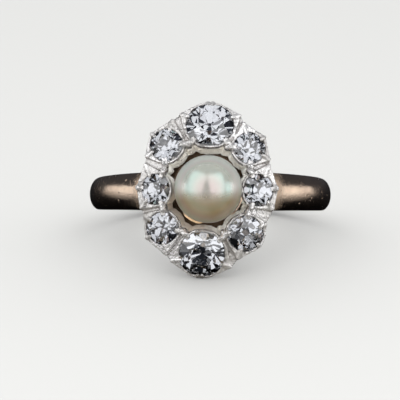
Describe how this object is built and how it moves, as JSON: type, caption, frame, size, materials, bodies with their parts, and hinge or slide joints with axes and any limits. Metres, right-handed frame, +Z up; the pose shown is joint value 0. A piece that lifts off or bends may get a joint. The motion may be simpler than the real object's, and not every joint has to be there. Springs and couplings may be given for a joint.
{
  "type": "pearl and diamond marquise cluster ring",
  "caption": "Finger ring whose long pointed-oval head holds a round pearl ringed by old-cut diamonds in silver collets, on a plain tapering gold hoop.",
  "frame": {"origin": "centre of the bottom of the bounding box, on the surface that the ring lies on", "axes": "+Z up, -Y the way that the head faces, X across the finger bore"},
  "size_m": [0.0198, 0.0248, 0.0133],
  "materials": {
    "gold": "polished rose 9 ct gold, lightly worn and scratched",
    "silver": "worn silver, bright on its edges",
    "pearl": "smooth nacre with a soft silver-green and pink lustre",
    "diamond": "polished facets"
  },
  "bodies": {
    "root": {"gold_mount": "gold", "silver_setting": "silver", "pearl": "pearl", "diamond_top": "diamond", "diamond_bottom": "diamond", "diamond_upper_left": "diamond", "diamond_upper_right": "diamond", "diamond_left": "diamond", "diamond_right": "diamond", "diamond_lower_left": "diamond", "diamond_lower_right": "diamond"}
  },
  "joints": []
}
